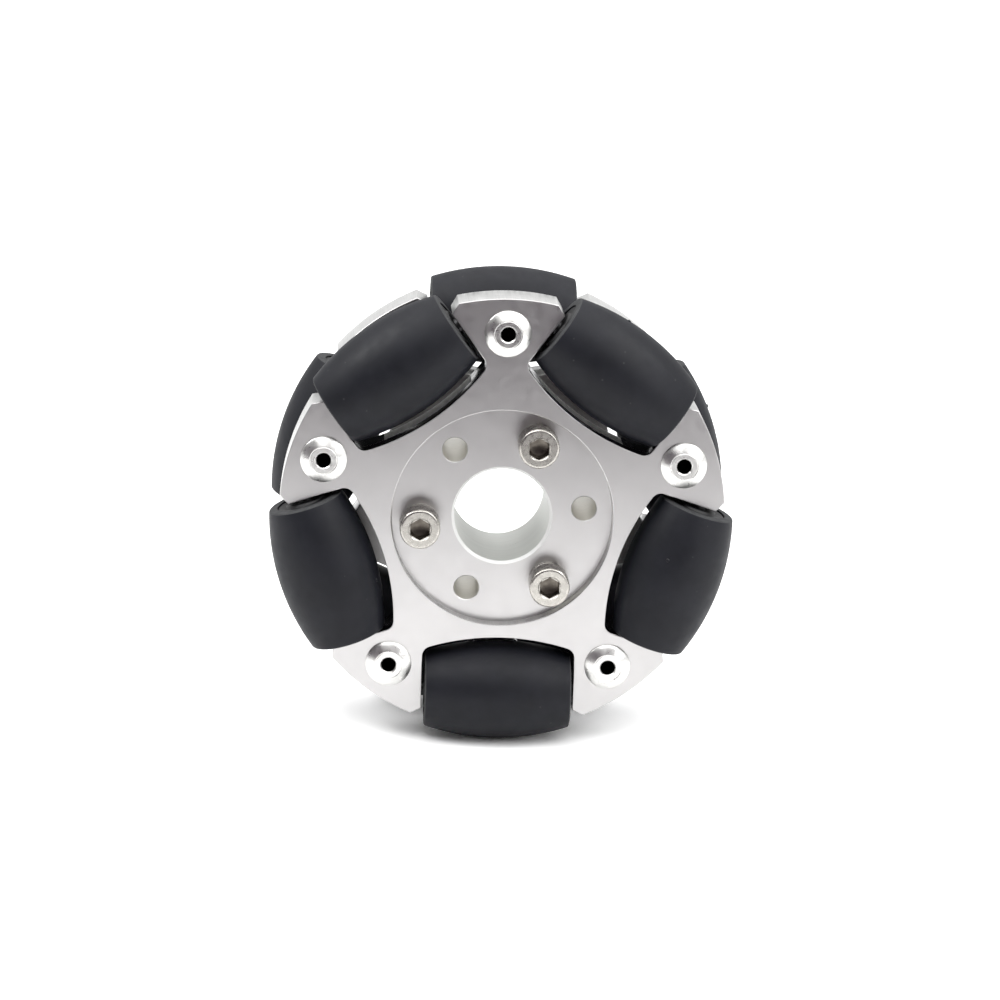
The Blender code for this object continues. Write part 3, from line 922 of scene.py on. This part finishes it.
def is_socket(face):
    """Walls and floor of a screw's socket."""
    inside = face.center.xy.length < SOCKET_ACROSS_FLATS / math.sqrt(3)
    return inside and HEAD_TOP - HEAD_HEIGHT < face.center.z < HEAD_TOP - SOCKET_MOUTH


def is_barrel_end(face):
    """Flat ends of a roller's tyre."""
    return abs(face.normal.z) > 0.5


def roller_frame(body):
    """A roller's frame from its joint: z along the axle, x out of the wheel."""
    joint = JOINTS[body]
    centre = Vector(joint["pos_m"])
    along = Vector(joint["axis"]).normalized()
    radial = Vector((centre.x, 0, centre.z)).normalized()
    matrix = Matrix((radial, along.cross(radial), along)).transposed().to_4x4()
    matrix.translation = centre
    return matrix


def build_wheel():
    """Every piece of the wheel."""
    satin, milled, plated = satin_aluminium(), milled_aluminium(), plated_steel()
    drilled = bored_aluminium("drilled_hole", (0.74, 0.725, 0.68), (0.82, 0.805, 0.76), 0.38, 0.48, 1.0)
    # The shaft bore is painted darker and greener than the hub holes: painted shade and a painted greenish
    # reflection
    bored = bored_aluminium("shaft_bore_painted_shade", (0.62, 0.630, 0.605), (0.69, 0.700, 0.675), 0.50, 0.62, 1.0)
    chamfered = bored_aluminium("bore_chamfer", (0.74, 0.74, 0.73), (0.80, 0.80, 0.79), 0.45, 0.55, 0.3)
    # The rivets' holes and the screws' sockets get dark colours as painted shade
    rivet_hole = painted_shade_metal("rivet_hole", (0.020, 0.019, 0.018), (0.035, 0.033, 0.031))
    socket = painted_shade_metal("screw_socket", (0.12, 0.105, 0.090), (0.20, 0.18, 0.155))
    # Pocket walls: painted shade as dark, smooth aluminium on every pocket wall, and painted light as
    # pale, rough, part-metal aluminium on the middle of the body's arches
    painted_shade_wall = sawn_aluminium("pocket_wall_painted_shade", (0.20, 0.20, 0.20), (0.28, 0.28, 0.28), 0.14, 0.22, 1.0)
    painted_light_wall = sawn_aluminium("pocket_arch_painted_light", (0.90, 0.90, 0.88), (0.96, 0.96, 0.94), 0.60, 0.75, 0.4)
    body = dress(body_mesh(), (satin, None), (milled, is_side_wall), (painted_shade_wall, is_pocket_wall),
                 (painted_light_wall, is_pocket_floor), (drilled, is_hub_hole), (bored, is_shaft_bore),
                 (chamfered, is_bore_chamfer))
    cover = dress(cover_mesh(), (satin, None), (milled, is_side_wall), (painted_shade_wall, is_pocket_wall))
    rivet = dress(rivet_mesh(), (polished_rivet(), None), (rivet_hole, is_rivet_bore))
    tyre = dress(tyre_mesh(), (moulded_rubber(), None), (end_rubber_painted_light(), is_barrel_end))
    core = dress(core_mesh(), (moulded_nylon(), None))
    axle = dress(axle_mesh(), (blackened_steel(), None))
    screw = dress(screw_mesh(), (plated, None), (socket, is_socket))
    washer = dress(washer_mesh(), (plated, None))
    nut = dress(nut_mesh(), (plated, None))

    front = Matrix.Rotation(math.pi / 2, 4, "X")
    turn_axis = polar(1, TURN_OVER_ANGLE).xzy
    back = Matrix.Rotation(math.pi, 4, turn_axis) @ front
    for side, row in (("front", front), ("back", back)):
        show(side + "_body", body, row, "hub", "aluminium", side + "_hub_body")
        show(side + "_cover", cover, row, "hub", "aluminium", side + "_cover_plate")
        for i, place in enumerate(ring(RIVET_CIRCLE_RADIUS, 0, ARMS)):
            turned = place @ Matrix.Rotation(math.radians(PITCH * 2 * i), 4, "Z")
            show(f"{side}_pop_rivet_{i + 1}", rivet, row @ turned, "hub", "rivet_metal",
                 f"{side}_rivet_{i + 1}")
        for i in range(ARMS):
            roller = f"{side}_roller_{i + 1}"
            place = roller_frame(roller)
            slid = place @ Matrix.Translation((0, 0, ROLLER_SLIDES[side][i]))
            spun = slid @ Matrix.Rotation(NUB_TURNS[side][i] * 2 * math.pi, 4, "Z")
            show(roller + "_barrel", tyre, spun, roller, "rubber", roller + "_tyre")
            show(roller + "_tube", core, spun, roller, "nylon", roller + "_core")
            show(roller + "_pin", axle, place, "hub", "steel", roller + "_axle")
    for i, place in enumerate(ring(HOLE_CIRCLE_RADIUS, FIRST_HUB_HOLE, SCREWS)):
        split = Matrix.Rotation(math.radians(WASHER_TURNS[i]), 4, "Z")
        show(f"cap_screw_{i + 1}", screw, front @ place, "hub", "steel", f"clamp_screw_{i + 1}")
        show(f"split_washer_{i + 1}", washer, front @ place @ split, "hub", "steel",
             f"spring_washer_{i + 1}")
        show(f"hex_nut_{i + 1}", nut, front @ place @ split, "hub", "steel", f"clamp_nut_{i + 1}")


# ---------------------------------------------------------------- studio

def build_camera():
    """Camera in front of the wheel, a little above it, turned with the wheel's own spin."""
    elevation = math.radians(CAMERA_ELEVATION)
    azimuth = math.radians(CAMERA_AZIMUTH)
    back = Vector((math.sin(azimuth) * math.cos(elevation),
                   -math.cos(azimuth) * math.cos(elevation), math.sin(elevation)))
    right = Vector((math.cos(azimuth), math.sin(azimuth), 0))
    up = back.cross(right)
    place = back * CAMERA_DISTANCE + right * CAMERA_SIDE + up * CAMERA_RISE
    matrix = Matrix((right, up, back)).transposed().to_4x4()
    matrix.translation = place
    data = bpy.data.cameras.new("camera")
    data.sensor_width = CAMERA_SENSOR
    data.lens = CAMERA_LENS
    data.clip_start = 0.01
    data.clip_end = 20
    camera = bpy.data.objects.new("camera", data)
    bpy.context.scene.collection.objects.link(camera)
    camera.matrix_world = Matrix.Rotation(-math.radians(WHEEL_SPIN), 4, "Y") @ matrix
    bpy.context.scene.camera = camera


def build_floor():
    """Pale floor under the wheel."""
    shape = bmesh.new()
    corners = [shape.verts.new((x * FLOOR_HALF, y * FLOOR_HALF, -WHEEL_RADIUS))
               for x, y in ((-1, -1), (1, -1), (1, 1), (-1, 1))]
    shape.faces.new(corners)
    mesh = bpy.data.meshes.new("floor")
    shape.to_mesh(mesh)
    shape.free()
    keep_places(mesh)
    mesh.materials.append(plain_floor())
    floor = bpy.data.objects.new("floor", mesh)
    bpy.context.scene.collection.objects.link(floor)


def build_flag():
    """Black flag in front of the wheel that only reflections see, so that the faces grade."""
    shape = bmesh.new()
    low, high = -WHEEL_RADIUS, FLAG_TOP
    corners = [shape.verts.new((x, -FLAG_DISTANCE, z)) for x, z in
               ((FLAG_LEFT, low), (FLAG_RIGHT, low), (FLAG_RIGHT, high), (FLAG_LEFT, high))]
    shape.faces.new(corners)
    mesh = bpy.data.meshes.new("flag")
    shape.to_mesh(mesh)
    shape.free()
    keep_places(mesh)
    nodes = Nodes("flag_cloth")
    nodes.link("Base Color", nodes.ramp(nodes.noise(20), (0.030, 0.019, 0.029), (0.036, 0.022, 0.034)))
    nodes.fix(Roughness=1.0)
    mesh.materials.append(nodes.material)
    flag = bpy.data.objects.new("flag", mesh)
    bpy.context.scene.collection.objects.link(flag)
    flag.visible_camera = False
    flag.visible_diffuse = False
    flag.visible_shadow = False


def area_light(name, place, size, power):
    """A softbox that looks at the wheel."""
    data = bpy.data.lights.new(name, "AREA")
    data.shape = "RECTANGLE"
    data.size, data.size_y = size
    data.energy = power
    light = bpy.data.objects.new(name, data)
    bpy.context.scene.collection.objects.link(light)
    light.location = place
    light.rotation_euler = Vector(place).to_track_quat("Z", "Y").to_euler()


def build_room():
    """A pale room around the wheel, dim in front of it to everything but the camera."""
    world = bpy.data.worlds.new("studio")
    bpy.context.scene.world = world
    world.use_nodes = True
    tree = world.node_tree
    background = tree.nodes["Background"]
    direction = tree.nodes.new("ShaderNodeTexCoord")
    dot = tree.nodes.new("ShaderNodeVectorMath")
    dot.operation = "DOT_PRODUCT"
    tree.links.new(direction.outputs["Generated"], dot.inputs[0])
    dot.inputs[1].default_value = Vector(DIM_SIDE).normalized()
    shade = tree.nodes.new("ShaderNodeMapRange")
    shade.interpolation_type = "SMOOTHSTEP"
    tree.links.new(dot.outputs["Value"], shade.inputs["Value"])
    shade.inputs["From Min"].default_value = math.cos(math.radians(DIM_OUTER))
    shade.inputs["From Max"].default_value = math.cos(math.radians(DIM_INNER))
    shade.inputs["To Min"].default_value = ROOM_BRIGHT
    shade.inputs["To Max"].default_value = ROOM_DIM
    seen = tree.nodes.new("ShaderNodeLightPath")
    strength = tree.nodes.new("ShaderNodeMix")
    tree.links.new(seen.outputs["Is Camera Ray"], strength.inputs[MIX_FACTOR])
    tree.links.new(shade.outputs["Result"], strength.inputs[MIX_NUMBERS[0]])
    strength.inputs[MIX_NUMBERS[1]].default_value = BACKDROP
    tree.links.new(strength.outputs[MIXED_NUMBER], background.inputs["Strength"])
    background.inputs["Color"].default_value = (1, 1, 1, 1)


def build_lights():
    """A broad light overhead, a softbox to the right, a rim light at each side and a small fill."""
    data = bpy.data.lights.new("overhead", "SUN")
    data.energy = TOP_STRENGTH
    data.angle = math.radians(TOP_SPREAD)
    overhead = bpy.data.objects.new("overhead", data)
    bpy.context.scene.collection.objects.link(overhead)
    area_light("right_softbox", SIDE_PLACE, (SIDE_SIZE, SIDE_SIZE), SIDE_POWER)
    for side, power in (("left", LEFT_RIM_POWER), ("right", RIGHT_RIM_POWER)):
        across = -RIM_PLACE[0] if side == "left" else RIM_PLACE[0]
        area_light(side + "_rim", (across, *RIM_PLACE[1:]), (RIM_SIZE, RIM_SIZE), power)
    area_light("front_fill", FILL_PLACE, (FILL_SIZE, FILL_SIZE), FILL_POWER)


build_camera()
build_floor()
build_flag()
build_room()
build_lights()
build_wheel()
bpy.context.scene.view_settings.view_transform = "Standard"
